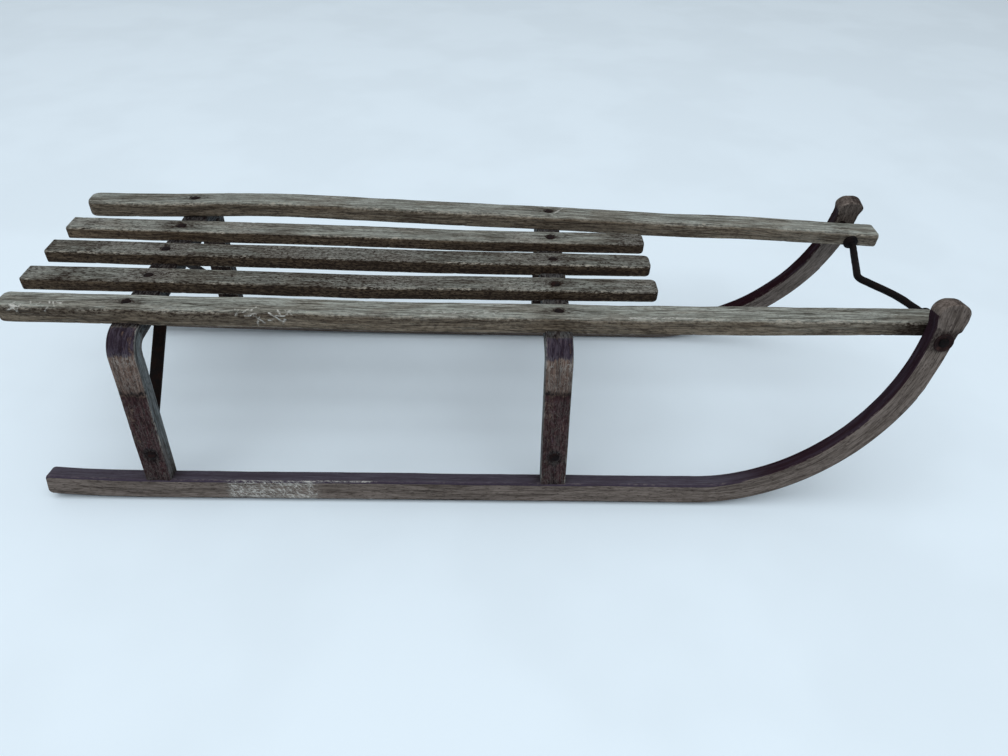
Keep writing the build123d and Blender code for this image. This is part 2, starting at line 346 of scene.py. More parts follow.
def old_grain():
    """Grain of open-pored wood: growth rings cut by the faces, broad streaks, fine fibres, pores and drying checks.

    The rings are bands of distance from a pith below the bar; the rest is noise drawn out along the grain."""
    tree, given, out = new_group(
        "old_grain",
        {"Grain": "Vector", "Pale": "Color", "Brown": "Color", "Line": "Color"},
        {"Color": "Color", "Tone": "Float", "Height": "Float"},
    )
    grain = given["Grain"]
    streaks = fractal(tree, grain, (0.009, 0.20, 0.20), 3.0, 0.60, 0.3)
    fibres = fractal(tree, grain, (0.040, 0.62, 0.62), 5.0, 0.70)
    sway = fractal(tree, grain, (0.008, 0.03, 0.03), 1.0, 0.5)
    bend = add_node(tree, "CombineXYZ", {1: times(tree, calc(tree, "SUBTRACT", sway, 0.5), 70.0), 2: 30.0})
    pith = add_node(tree, "VectorMath", {0: stretched(tree, grain, (0, 1, 1)), 1: bend.outputs[0]}, operation="ADD")
    reach = add_node(tree, "VectorMath", {0: pith.outputs[0]}, operation="LENGTH").outputs["Value"]
    rings = ranged(tree, calc(tree, "SINE", times(tree, reach, 1.7)), 0.0, 1.0)
    tone = times(tree, ranged(tree, streaks, 0.36, 0.64), 0.30)
    tone = calc(tree, "ADD", tone, times(tree, ranged(tree, fibres, 0.40, 0.60), 0.56))
    tone = calc(tree, "ADD", tone, times(tree, rings, 0.20), clamp=True)
    cracks = fractal(tree, grain, (0.012, 0.5, 0.5), 2.0, 0.55, 0.6)
    checks = ranged(tree, calc(tree, "ABSOLUTE", calc(tree, "SUBTRACT", cracks, 0.5)), 0.020, 0.004)
    checks = times(tree, checks, ranged(tree, streaks, 0.47, 0.55))
    pores = ranged(tree, fractal(tree, grain, (0.17, 0.85, 0.85), 3.0, 0.6), 0.56, 0.66)
    colour = mixed(tree, tone, given["Pale"], given["Brown"])
    colour = mixed(tree, times(tree, pores, 0.75), colour, given["Line"])
    colour = mixed(tree, times(tree, checks, 0.9), colour, given["Line"])
    height = calc(tree, "SUBTRACT", fibres, times(tree, checks, 0.8))
    deep = calc(tree, "MAXIMUM", times(tree, pores, 0.7), checks)
    tree.links.new(colour, out["Color"])
    tree.links.new(calc(tree, "MAXIMUM", tone, deep), out["Tone"])
    tree.links.new(height, out["Height"])
    return tree


def old_age():
    """Weather and use on bare wood: grey tops with dark and pale hairs, rubbed edges, soiling, painted shade and
    white scuffs.

    Each is a noise drawn out along the grain, ranged to a mask, times the mesh's mark for it."""
    tree, given, out = new_group(
        "old_age",
        {
            "Color": "Color", "Tone": "Float", "Grain": "Vector", "Grey": "Color", "Rubbed": "Color", "Dirt And Shade": "Color",
            "Soil": "Float", "Face Up": "Float", "Edge": "Float", "Grime": "Float", "Scuff": "Float",
        },
        {"Color": "Color", "Roughness": "Float"},
    )
    grain, face_up = given["Grain"], given["Face Up"]
    patches = fractal(tree, grain, (0.014, 0.06, 0.06), 3.0, 0.6)
    flecks = fractal(tree, grain, (0.19, 0.5, 0.5), 4.0, 0.74)
    hairs = fractal(tree, grain, (0.024, 0.6, 0.6), 3.0, 0.6)
    light = mixed(tree, 1.0, given["Grey"], (1.26, 1.26, 1.24, 1.0), "MULTIPLY")
    dark = mixed(tree, 1.0, given["Grey"], (0.40, 0.375, 0.34, 1.0), "MULTIPLY")
    grey = mixed(tree, given["Tone"], light, dark)
    bleach = times(tree, face_up, ranged(tree, patches, 0.38, 0.54, 0.66, 1.0))
    colour = mixed(tree, bleach, given["Color"], grey)
    thread = times(tree, face_up, ranged(tree, hairs, 0.56, 0.66, 0.0, 0.8))
    colour = mixed(tree, thread, colour, given["Dirt And Shade"])
    thread = times(tree, face_up, ranged(tree, hairs, 0.42, 0.33, 0.0, 0.6))
    colour = mixed(tree, thread, colour, mixed(tree, 1.0, given["Grey"], (1.6, 1.58, 1.5, 1.0), "MULTIPLY"))
    soil = calc(tree, "ADD", ranged(tree, patches, 0.52, 0.38, 0.0, 0.7), ranged(tree, flecks, 0.50, 0.36, 0.0, 2.2))
    soil = times(tree, soil, given["Soil"])
    # Painted shade: the mark read here holds the shade of inner faces, hollows and contact shadows as well as real
    # soiling, and darkens them all towards one dark colour.
    grime = times(tree, given["Grime"], ranged(tree, flecks, 0.36, 0.62, 1.0, 0.5))
    colour = mixed(tree, calc(tree, "ADD", soil, grime, clamp=True), colour, given["Dirt And Shade"])
    rub = times(tree, given["Edge"], ranged(tree, flecks, 0.48, 0.60))
    rub = calc(tree, "MULTIPLY", rub, ranged(tree, patches, 0.42, 0.58, 0.08, 0.7), clamp=True)
    colour = mixed(tree, rub, colour, given["Rubbed"])
    scrawl = fractal(tree, grain, (0.09, 0.17, 0.17), 2.0, 0.6, 1.2)
    scrawl = ranged(tree, calc(tree, "ABSOLUTE", calc(tree, "SUBTRACT", scrawl, 0.5)), 0.030, 0.008, 0.0, 0.9)
    veil = ranged(tree, calc(tree, "ADD", hairs, flecks), 0.94, 1.18, 0.0, 0.6)
    scrape = times(tree, given["Scuff"], calc(tree, "MAXIMUM", veil, scrawl))
    solid = calc(tree, "SUBTRACT", given["Scuff"], 1.0, clamp=True)
    scrape = calc(tree, "ADD", scrape, times(tree, solid, ranged(tree, flecks, 0.34, 0.5)), clamp=True)
    colour = mixed(tree, scrape, colour, scraped_white)
    rough = calc(tree, "ADD", ranged(tree, flecks, 0.3, 0.7, 0.70, 0.88), times(tree, rub, -0.14))
    tree.links.new(colour, out["Color"])
    tree.links.new(rough, out["Roughness"])
    return tree


grain_group = old_grain()
age_group = old_age()


def attribute(tree, name, output="Fac"):
    """A mark that the mesh carries on its points."""
    return add_node(tree, "Attribute", attribute_name=name).outputs[output]


def new_material(name, specular=0.06):
    """A material with a Principled shader; gives the material, its tree and the shader."""
    material = bpy.data.materials.new(name)
    material.use_nodes = True
    tree = material.node_tree
    shader = tree.nodes["Principled BSDF"]
    shader.inputs["Specular IOR Level"].default_value = specular
    return material, tree, shader


def finish(tree, shader, colour, rough, height, depth):
    """Joins colour, roughness and a bump of the given depth in metres to the shader."""
    raised = add_node(tree, "Bump", {"Height": height, "Distance": depth, "Strength": bump_strength})
    tree.links.new(colour, shader.inputs["Base Color"])
    tree.links.new(rough, shader.inputs["Roughness"])
    tree.links.new(raised.outputs[0], shader.inputs["Normal"])


def grained(tree, pale, brown, line):
    """The grain group in a wood's own colours, read along the mesh's grain mark."""
    inputs = {"Grain": attribute(tree, "grain", "Vector")}
    inputs.update({"Pale": tint(*pale), "Brown": tint(*brown), "Line": tint(*line)})
    return add_node(tree, "Group", inputs, node_tree=grain_group).outputs


def aged(tree, shader, wood, colour, grey, rubbed, dirt_and_shade, soil):
    """The age group over a wood's colour, led by the mesh's marks and joined to the shader."""
    marks = ("Face Up", "Edge", "Grime", "Scuff")
    inputs = {mark: attribute(tree, mark.lower().replace(" ", "_")) for mark in marks}
    inputs.update({"Grain": attribute(tree, "grain", "Vector"), "Color": colour, "Tone": wood["Tone"]})
    inputs.update({"Grey": tint(*grey), "Rubbed": tint(*rubbed), "Dirt And Shade": tint(*dirt_and_shade), "Soil": soil})
    age = add_node(tree, "Group", inputs, node_tree=age_group).outputs
    finish(tree, shader, age["Color"], age["Roughness"], wood["Height"], grain_depth)


def runner_wood():
    """Brown grey ash, with the maroon stain where the runner's own mark says that it is left."""
    material, tree, shader = new_material("runner_wood")
    wood = grained(tree, runner_pale, runner_brown, runner_line)
    grain = attribute(tree, "grain", "Vector")
    depth = fractal(tree, grain, (0.012, 0.16, 0.16), 4.0, 0.6)
    fray = fractal(tree, grain, (0.05, 0.9, 0.9), 4.0, 0.7)
    deep = times(tree, attribute(tree, "bend"), ranged(tree, depth, 0.34, 0.58, 0.55, 1.0))
    dye = mixed(tree, deep, tint(*runner_stain), tint(*runner_stain_deep))
    dye = mixed(tree, ranged(tree, fray, 0.58, 0.76, 0.0, 0.45), dye, wood["Color"])
    edge = times(tree, calc(tree, "SUBTRACT", fray, 0.5), 0.5)
    cover = ranged(tree, calc(tree, "ADD", attribute(tree, "stain"), edge), 0.38, 0.58)
    colour = mixed(tree, cover, wood["Color"], dye)
    aged(tree, shader, wood, colour, runner_dust, runner_rubbed, runner_dirt_and_shade, runner_soil)
    return material


runner_finish = runner_wood()
rear_bow_x = middle_mm("bow_rear")[0]
bow_gap = middle_mm("bow_front")[0] - rear_bow_x
bend_station = bow_gap + bend_ahead
sole_height = (runner_width + shoe_width) / 2 * np.sin(runner_lean)
runner_mid = shoe_thick + runner_height / 2


def leaning(sign, station, level, depth):
    """Point of a runner's own leaning frame: along the sled, up its outer face, and in from that face."""
    y = runner_foot_y - level * np.sin(runner_lean) - depth * np.cos(runner_lean)
    z = sole_height + level * np.cos(runner_lean) - depth * np.sin(runner_lean)
    return np.stack(np.broadcast_arrays(station + rear_bow_x, sign * y, z), -1)


def rocker(side_name):
    """Radius of the arc that lifts a runner's heel, from its length and rise, and the length along the arc."""
    run, rise = heel_back + rocker_station[side_name], heel_rise[side_name]
    radius = (run**2 + rise**2) / (2 * rise)
    return radius, radius * np.arcsin(run / radius)


def bend_radius_of(side_name):
    """Radius of the middle of a runner's bend: what its solid reaches ahead of the sole, less half the bar."""
    return box_mm("runner_" + side_name)[1][0] - rear_bow_x - bend_station - runner_height / 2


def sole_length(side_name):
    """Length along a runner's middle from the heel to the bend: the rocker's arc and the flat sole."""
    return rocker(side_name)[1] + bend_station - rocker_station[side_name]


def sole_line(side_name, along, offset):
    """Station and level of a line at an offset above the runner's middle: rocker arc, sole, bend and horn.

    The length along the middle is spent in turn on the rocker, the flat sole, the bend's quarter and the horn."""
    radius = bend_radius_of(side_name)
    rocker_radius, rocker_arc = rocker(side_name)
    sole = bend_station - rocker_station[side_name]
    back = np.clip(rocker_arc - along, 0, None) / rocker_radius
    flat = np.clip(along - rocker_arc, 0, sole)
    bend = np.clip((along - rocker_arc - sole) / radius, 0, np.pi / 2)
    horn = np.clip(along - rocker_arc - sole - radius * np.pi / 2, 0, None)
    heading = bend - back
    station = rocker_station[side_name] - rocker_radius * np.sin(back) + flat + radius * np.sin(bend)
    level = runner_mid + rocker_radius * (1 - np.cos(back)) + radius * (1 - np.cos(bend)) + horn
    return station - offset * np.sin(heading), level + offset * np.cos(heading), heading


def outer_side(sign):
    """Direction out of a runner's leaning outer face."""
    return np.array([0, sign * np.cos(runner_lean), np.sin(runner_lean)])


def along_runner(side_name, sign, along, offset):
    """Stations, headings, points, sides and ups of a runner's line at an offset above its middle."""
    station, level, heading = sole_line(side_name, along, offset)
    line = leaning(sign, station, level, runner_width / 2)
    side, up = carried(line, outer_side(sign), sign)
    return station, heading, line, side, up


def random_scratches(chance, count, spans):
    """Scratches drawn by chance: place along, place across, slant and half length, each even over its span."""
    return np.column_stack([chance.uniform(*span, count) for span in spans]).tolist()


def scratched(s, girth, strokes):
    """Straight scratches on a skin: each fades with the distance from its own line, and the strongest one shows."""
    total = 0.0
    for at, across, slant, half in strokes:
        ahead = (s - at) * np.cos(slant) + (girth - across) * np.sin(slant)
        ahead = np.clip(ahead, -half, half)
        gap = np.hypot(s - at - ahead * np.cos(slant), girth - across - ahead * np.sin(slant))
        total = np.maximum(total, smooth(*scratch_fade, gap))
    return total


for side_name, sign, seed in (("left", 1, 3), ("right", -1, 17)):
    bend_radius = bend_radius_of(side_name)
    length = sole_length(side_name)
    length += bend_radius * np.pi / 2 + horn_length + tip_rise[side_name]
    spots = [(0, 8, 0.7), (length, 16, 0.8), (length - 45, 16, 0.9)]
    if side_name == "right":
        spots += [(rocker(side_name)[1] - rocker_station[side_name] + scratch_middle, scratch_reach, 1.0)]
    along = crowded(0, length, 2.1, spots)
    station, heading, line, side, up = along_runner(side_name, sign, along, 0.0)
    to_tip = length - along
    half_h = runner_height / 2 - inset(to_tip, tip_round[side_name]) - inset(along, heel_round)
    half_w = runner_width / 2 - inset(to_tip, end_ease) - inset(along, end_ease)
    section = bar_section(13, 17, 6)
    points, marks = worn_bar(along, line, side, up, half_w, half_h, runner_edge, section, seed)
    sy, nx, ny = section[1:]
    bent = smooth(0.05, 0.45, heading)[:, None]
    sole_wrap = np.maximum(smooth(-0.1, 0.3, ny), smooth(0.80, 0.98, sy))
    wrap = np.maximum(smooth(0.35, 0.75, ny), (1 - bent) * sole_wrap)
    marks["stain"] = wrap * smooth(*bare_tip, to_tip)[:, None]
    marks["bend"] = bend_stained[side_name] * bent * np.ones_like(ny)
    marks["face_up"] = 0.22 * smooth(0.5, 0.95, ny) * (1 - bent)
    under, over = smooth(0.3, 0.9, -ny), smooth(0.3, 0.9, ny)
    # Painted shadow: the runner's top is darkened round both bow feet, standing for their contact shadows; the
    # underside is darkened too.
    feet = bump(station[:, None], foot_reach, 4) + bump(station[:, None] - bow_gap, foot_reach, 4)
    at_tip = smooth(60, 20, to_tip)[:, None]
    marks["grime"] = 0.55 * under + 0.5 * feet * over + tip_grime[side_name] * at_tip
    through = np.einsum("ijk,ik->ij", points - line[:, None], up)
    front_level = sole_line(side_name, along, -runner_height / 2)[1][:, None]
    ledge, swell = horn_knob[side_name]
    knob = ledge * smooth(knob_level - 4, knob_level, front_level)
    knob = knob + swell * smooth(knob_level, knob_level + 13, front_level)
    front = np.clip(-2 * through / runner_height, 0, 1)
    back = knob_back * smooth(knob_level, knob_level + 14, front_level) * np.clip(2 * through / runner_height, 0, 1)
    points = points + (back - knob * front)[..., None] * up[:, None]
    outer_face = smooth(0.4, 0.95, nx)
    if side_name == "right":
        patch = band(*scuffed_run, station)[:, None] * outer_face
        edges = band(*rubbed_edge_run, station)[:, None] * marks["edge"] * smooth(0.1, 0.4, nx)
        strokes = random_scratches(np.random.default_rng(61), scratch_count, scratch_spans)
        scratches = scratched(station[:, None], through, strokes) * outer_face
        marks["scuff"] = 0.55 * patch + 0.9 * edges + 0.7 * scratches
        marks["edge"] = 0.4 * marks["edge"]
        flat_from, flat_to = (np.argmin(np.abs(front_level - level_at)) for level_at in horn_flat)
        turned_by = heading[:, None] - (heading[flat_from] + heading[flat_to]) / 2
        half_turn = (heading[flat_to] - heading[flat_from]) / 2
        bulge = (bend_radius + runner_height / 2) * (np.cos(turned_by) - np.cos(half_turn))
        worn = np.clip(bulge, 0, horn_flat_depth) * smooth(horn_flat[0] - 1.5, horn_flat[0] + 1, front_level)
        worn = worn * smooth(0.75, 1.0, front) * (front_level < horn_flat[1])
        points = points + worn[..., None] * up[:, None]
        hole = middle_mm("tie_washer_right") - (rear_bow_x, 0, 0)
        round_hole = np.hypot(station[:, None] - hole[0], points[..., 2] - hole[2])
        marks["grime"] = marks["grime"] + smooth(16, 9, round_hole) * smooth(0.2, 0.8, nx)
    else:
        marks["scuff"] = 0.25 * outer_face * smooth(0.0, 0.6, lattice_noise(along[:, None] / 60, 0, 0, 5))
    name = "runner_" + side_name
    skin(name + "_wood", [(points, marks)], runner_finish, [name])

# Shoes: strips of flat iron under the soles, from the heel up into the bend, held by countersunk nails.
# They are dark with old rust, and the ice has kept their undersides a little brighter.

shoe_angle = np.radians(67)
shoe_edge = 0.7
shoe_end_round = 3.0
nail_stations = (-112, -30, 55, 150, 245, 340, 425, 520, 605, 690, 765, 815)
nail_profile = ((2.9, -0.6), (2.9, 0.05), (2.4, 0.25), (1.2, 0.38))

iron_dark = (13, 10, 11)
iron_rust = (32, 21, 18)
iron_bare = (66, 62, 61)
rust_depth = 0.0003


def old_rust():
    """Old rust: blotches of two browns over black iron, with fine pits."""
    tree, given, out = new_group(
        "old_rust",
        {"Place": "Vector", "Dark": "Color", "Rust": "Color", "Bare": "Color", "Rubbing": "Float"},
        {"Color": "Color", "Roughness": "Float", "Height": "Float"},
    )
    place = given["Place"]
    blotch = fractal(tree, place, (140.0, 140.0, 140.0), 5.0, 0.65)
    pits = fractal(tree, place, (900.0, 900.0, 900.0), 3.0, 0.6)
    rust = calc(tree, "ADD", ranged(tree, blotch, 0.42, 0.66), ranged(tree, pits, 0.55, 0.75, 0.0, 0.35), clamp=True)
    colour = mixed(tree, rust, given["Dark"], given["Rust"])
    rub = times(tree, given["Rubbing"], ranged(tree, pits, 0.42, 0.6))
    colour = mixed(tree, rub, colour, given["Bare"])
    tree.links.new(colour, out["Color"])
    tree.links.new(ranged(tree, rust, 0.0, 1.0, 0.58, 0.86), out["Roughness"])
    tree.links.new(calc(tree, "ADD", pits, blotch), out["Height"])
    return tree


rust_group = old_rust()


def rusted(name, dark, rust, rubbing=0.05, metallic=0.0):
    """Iron with the rust group in its own colours."""
    material, tree, shader = new_material(name)
    inputs = {"Place": add_node(tree, "TexCoord").outputs["Object"], "Rubbing": rubbing}
    inputs.update({"Dark": tint(*dark), "Rust": tint(*rust), "Bare": tint(*iron_bare)})
    made = add_node(tree, "Group", inputs, node_tree=rust_group).outputs
    shader.inputs["Metallic"].default_value = metallic
    finish(tree, shader, made["Color"], made["Roughness"], made["Height"], rust_depth)
    return material


def turned(base, axis, profile, columns=28):
    """Solid of revolution: a ring for each radius and height of the profile, along an axis from a base point."""
    axis = np.array(axis, float) / np.linalg.norm(axis)
    first = np.cross(axis, (1.0, 0.2, 0.3))
    first = first / np.linalg.norm(first)
    angle = np.linspace(0, 2 * np.pi, columns, endpoint=False)
    circle = np.cos(angle)[:, None] * first + np.sin(angle)[:, None] * np.cross(axis, first)
    radius, height = np.array(profile, float).T
    return np.array(base) + height[:, None, None] * axis + radius[:, None, None] * circle


shoe_finish = rusted("shoe_iron", iron_dark, iron_rust, 0.5, 0.3)
for side_name, sign, seed in (("left", 1, 23), ("right", -1, 31)):
    start, stop = heel_round, sole_length(side_name) + bend_radius_of(side_name) * shoe_angle
    along = crowded(start, stop, 4.0, [(start, 4, 0.6), (stop, 4, 0.6)])
    station, _, line, side, up = along_runner(side_name, sign, along, -(runner_height + shoe_thick) / 2)
    ends = inset(along - start, shoe_end_round) + inset(stop - along, shoe_end_round)
    half_w, half_h = shoe_width / 2 - ends, shoe_thick / 2
    strip, _ = worn_bar(along, line, side, up, half_w, half_h, shoe_edge, bar_section(8, 2, 3), seed, wear=0.2)
    shells = [(strip, {})]
    for nail_station in nail_stations:
        k = np.argmin(np.abs(station - nail_station))
        shells.append((turned(line[k] - up[k] * shoe_thick / 2, -up[k], nail_profile, 14), {}))
    skin("shoe_" + side_name + "_iron", shells, shoe_finish, ["shoe_" + side_name])

# Bows: each is one bar steamed into a hoop, its two legs tenoned into the runners, its crosspiece under the seat.
# The outer faces of the legs keep bands of dark stain; between them the wood is scratched to a dull brown.

bow_width = 29.6
bow_thick = 19.0
bow_corner_y = 149.75
bow_inner_radius = 9.5
bow_edge = 2.1
arc_points = 48
foot_shift = {"rear": -4.5, "front": 3.4}
bow_sunk = 6.0
seat_height = 225.4
seat_fall = np.radians(0.75)
rivet_heights = {"rear": 68.0, "front": 71.0}
rivet_pan = (9.4, 7.6)
rivet_pan_depth = 1.0
stain_bands = {"rear": (152.0, 204.0), "front": (160.0, 205.0)}
crosspiece_shade = {"rear": 1.15, "front": 0.8}

bow_pale = (108, 90, 81)
bow_brown = (74, 63, 58)
bow_line = (40, 32, 31)
bow_low_stain = (54, 32, 36)
bow_deep_stain = (25, 11, 15)
bow_bend_stain = (60, 55, 67)
bow_bend_deep = (27, 20, 33)
bow_grey = (102, 114, 120)
bow_rubbed = (140, 137, 130)
bow_dirt_and_shade = (20, 14, 15)
bow_soil = 0.14


def rounded_path(corners, radii):
    """Straight runs joined by arcs of one radius, or of one for each corner, as points with their distance along."""
    corners = np.array(corners, float)
    runs = [corners[:1]]
    radii = np.broadcast_to(radii, len(corners) - 2)
    for before, here, after, radius in zip(corners, corners[1:], corners[2:], radii):
        back = (before - here) / np.linalg.norm(before - here)
        on = (after - here) / np.linalg.norm(after - here)
        half = np.arccos(np.clip(back @ on, -1, 1)) / 2
        middle = here + (back + on) / np.linalg.norm(back + on) * radius / np.sin(half)
        first = here + back * radius / np.tan(half) - middle
        last = here + on * radius / np.tan(half) - middle
        turn = np.pi - 2 * half
        t = np.linspace(0, turn, arc_points)[:, None]
        runs.append(middle + (first * np.sin(turn - t) + last * np.sin(t)) / np.sin(turn))
    path = np.concatenate(runs + [corners[-1:]])
    distance = np.concatenate([[0], np.cumsum(np.linalg.norm(np.diff(path, axis=0), axis=1))])
    return path, distance


def followed(path, distance, along):
    """Points of a path at given distances along it."""
    return np.column_stack([np.interp(along, distance, path[:, axis]) for axis in range(3)])


def bow_wood():
    """Dull brown wood with the two stains that the bow's marks place, blotched and scratched through in places."""
    material, tree, shader = new_material("bow_wood")
    wood = grained(tree, bow_pale, bow_brown, bow_line)
    grain = attribute(tree, "grain", "Vector")
    fray = fractal(tree, grain, (0.10, 0.22, 0.22), 5.0, 0.74, 0.5)
    loose = times(tree, calc(tree, "SUBTRACT", fray, 0.5), 2.8)
    low = ranged(tree, calc(tree, "ADD", attribute(tree, "low_stain"), loose), 0.30, 0.74, 0.0, 0.92)
    bend = ranged(tree, calc(tree, "ADD", attribute(tree, "bend_stain"), loose), 0.30, 0.66, 0.0, 0.95)
    scratch = fractal(tree, grain, (0.07, 0.62, 0.62), 5.0, 0.72, 0.9)
    bare = ranged(tree, scratch, 0.58, 0.70, 1.0, 0.3)
    blotch = ranged(tree, calc(tree, "ADD", scratch, fray), 1.12, 0.88)
    dye = mixed(tree, blotch, tint(*bow_low_stain), tint(*bow_deep_stain))
    colour = mixed(tree, times(tree, low, bare), wood["Color"], dye)
    dye = mixed(tree, blotch, tint(*bow_bend_stain), tint(*bow_bend_deep))
    colour = mixed(tree, times(tree, bend, bare), colour, dye)
    aged(tree, shader, wood, colour, bow_grey, bow_rubbed, bow_dirt_and_shade, bow_soil)
    return material


bow_finish = bow_wood()
runner_top = shoe_thick + runner_height
foot_y = runner_foot_y - runner_top * np.sin(runner_lean) - bow_thick / 2
foot_z = sole_height + runner_top * np.cos(runner_lean)
rivet_places = []


def bow_shape(station):
    """Height of a bow's top, which follows the falling seat, and how far its legs splay for each millimetre down."""
    top_z = seat_height - station * np.tan(seat_fall)
    return top_z, (foot_y - bow_corner_y) / (top_z - bow_thick / 2 - foot_z)


def both_sides(corners):
    """Corners of the left half of a hoop, from its foot up, then their mirror images down to the right foot."""
    return corners + [(x, -y, z) for x, y, z in corners[::-1]]


for bow_name, station, seed in (("rear", 0.0, 41), ("front", bow_gap, 53)):
    top_z, splay = bow_shape(station)
    mid_z = top_z - bow_thick / 2
    low_z = foot_z - bow_sunk
    low_y = foot_y + bow_sunk * splay
    x = station + rear_bow_x
    corners = both_sides([(x + foot_shift[bow_name], low_y, low_z), (x, bow_corner_y, mid_z)])
    path, distance = rounded_path(corners, bow_inner_radius + bow_thick / 2)
    rivet = rivet_heights[bow_name]
    rivet_shift = foot_shift[bow_name] * (mid_z - rivet) / (mid_z - low_z)
    rivet_along = (rivet - low_z) * np.hypot(1, splay)
    rivet_spots = (rivet_along, distance[-1] - rivet_along)
    along = crowded(0, distance[-1], 2.0, [(spot, 14, 0.9) for spot in rivet_spots])
    line = followed(path, distance, along)
    side, up = carried(line, np.array([1.0, 0, 0]))
    section = bar_section(20, 11, 6)
    sx, sy, nx, ny = section
    s = along[:, None]
    outer_face = smooth(0.4, 0.95, ny)
    round_rivet = np.min([np.hypot(s - spot, sx * bow_width / 2) for spot in rivet_spots], axis=0)
    relief = -rivet_pan_depth * smooth(*rivet_pan, round_rivet) * outer_face
    points, marks = worn_bar(along, line, side, up, bow_width / 2, bow_thick / 2, bow_edge, section, seed, relief)
    z = points[..., 2]
    low_end, bend_start = stain_bands[bow_name]
    outside, inside = smooth(0.5, 0.85, ny), smooth(0.3, 0.9, -ny)
    flank = smooth(0.5, 0.85, np.abs(nx))
    level_part = smooth(0.97, 0.999, up[:, 2])[:, None]
    leg_part = 1 - level_part
    marks["face_up"] = np.maximum(0.6 * marks["face_up"] * level_part, 0.75 * flank)
    stained = 0.74 + 0.2 * smooth(-0.9, 0.5, sx) + 0.12 * smooth(low_end - 25, low_end - 70, z)
    marks["low_stain"] = smooth(low_end + 5, low_end - 3, z) * stained * outside
    stained = 0.95 - 0.25 * smooth(0.4, 1.0, sx)
    marks["bend_stain"] = smooth(bend_start - 5, bend_start + 4, z) * leg_part * outside * stained
    ragged = 2.0 * lattice_noise(s / 30, sx * 4, sy, seed + 7)
    leg_line = bump(z - low_end - 3 + ragged, 2.5) * (0.85 + 0.6 * lattice_noise(s / 50, sx * 7, sy, seed + 6))
    drip = bump(sx, 0.22) * smooth(rivet, rivet - 12, z)
    # Painted shade: inside darkens the hoop's inner faces for the shade they lie in, and at_foot darkens the feet for
    # their contact shadows on the runners.
    at_rivet, at_foot = smooth(14, 8, round_rivet) * outer_face, smooth(foot_z + 10, foot_z, z)
    marks["grime"] = 1.1 * at_rivet + 1.1 * inside + 0.5 * at_foot + (1.7 * leg_line + 0.6 * drip) * outside
    # Painted shade: the crosspiece's top and sides under the slats are darkened for the shade they lie in.
    marks["grime"] = marks["grime"] + crosspiece_shade[bow_name] * level_part * smooth(-0.5, 0.3, ny)
    # Painted shade: the flanks of the far legs, on the left, are darkened for the shade they stand in.
    marks["grime"] = marks["grime"] + 0.9 * flank * leg_part * smooth(0, 20, line[:, 1])[:, None]
    bare_band = band(low_end, low_end + 12, bend_start - 8, bend_start + 4, z)
    scrape = band(bend_start - 14, bend_start - 8, bend_start - 3, bend_start + 5, z)
    marks["scuff"] = (0.22 * bare_band + 0.2 * scrape + 0.10 * smooth(low_end, low_end - 10, z)) * outside
    name = "bow_" + bow_name
    skin(name + "_wood", [(points, marks)], bow_finish, [name])
    out_y = foot_y + bow_thick / 2 * np.cos(np.arctan(splay)) - (rivet - foot_z) * splay
    for sign in (1, -1):
        rivet_places.append((np.array([x + rivet_shift, sign * out_y, rivet]), np.array([0, sign, splay])))

# Stays: straps of flat iron that brace the bows, bent to shape when hot and black with old rust.
# Each is bolted up under a crosspiece, and its ends are riveted to the inside of both legs.

stay_width = 14.0
stay_thick = 4.0
stay_half_flat = 32.0
stay_bend = 7.0
stay_tail = {"rear": 17.0, "front": 14.0}
stay_reach = {"rear": 26.0, "front": 41.0}
stay_edge = 0.9
stay_end_round = 5.0
stay_follows = 0.7

iron_finish = rusted("iron_strap", iron_dark, iron_rust, 0.06)
for bow_name, station, seed in (("rear", 0.0, 61), ("front", bow_gap, 67)):
    top_z, splay = bow_shape(station)
    beside = (bow_thick + stay_thick) / 2 * np.hypot(1, splay)
    flat_z = top_z - bow_thick - stay_thick / 2
    arm_z = rivet_heights[bow_name] + stay_reach[bow_name]
    tail_z = rivet_heights[bow_name] - stay_tail[bow_name]
    arm_y, tail_y = (foot_y - (z - foot_z) * splay - beside for z in (arm_z, tail_z))
    x = station + rear_bow_x
    leg_x = x + foot_shift[bow_name] * stay_follows
    corners = both_sides([(leg_x, tail_y, tail_z), (leg_x, arm_y, arm_z), (x, stay_half_flat, flat_z)])
    path, distance = rounded_path(corners, stay_bend)
    along = crowded(0, distance[-1], 2.5, [(0, 5, 0.7), (distance[-1], 5, 0.7)])
    line = followed(path, distance, along)
    side, up = carried(line, np.array([1.0, 0, 0]))
    half_w = stay_width / 2 - (inset(along, stay_end_round) + inset(distance[-1] - along, stay_end_round))
    section = bar_section(8, 3, 3)
    strap, _ = worn_bar(along, line, side, up, half_w, stay_thick / 2, stay_edge, section, seed, wear=0.35)
    skin("stay_" + bow_name + "_iron", [(strap, {})], iron_finish, ["stay_" + bow_name])

# Slats: three narrow boards bolted across the bows, sawn square at the back and rounded at the front by wear.
# Weather has bleached their tops to a streaky grey; the sides are still brown and dirty, and painted shade darkens
# them towards the lower edge. Their worn arrises are lightened more as a painted highlight.

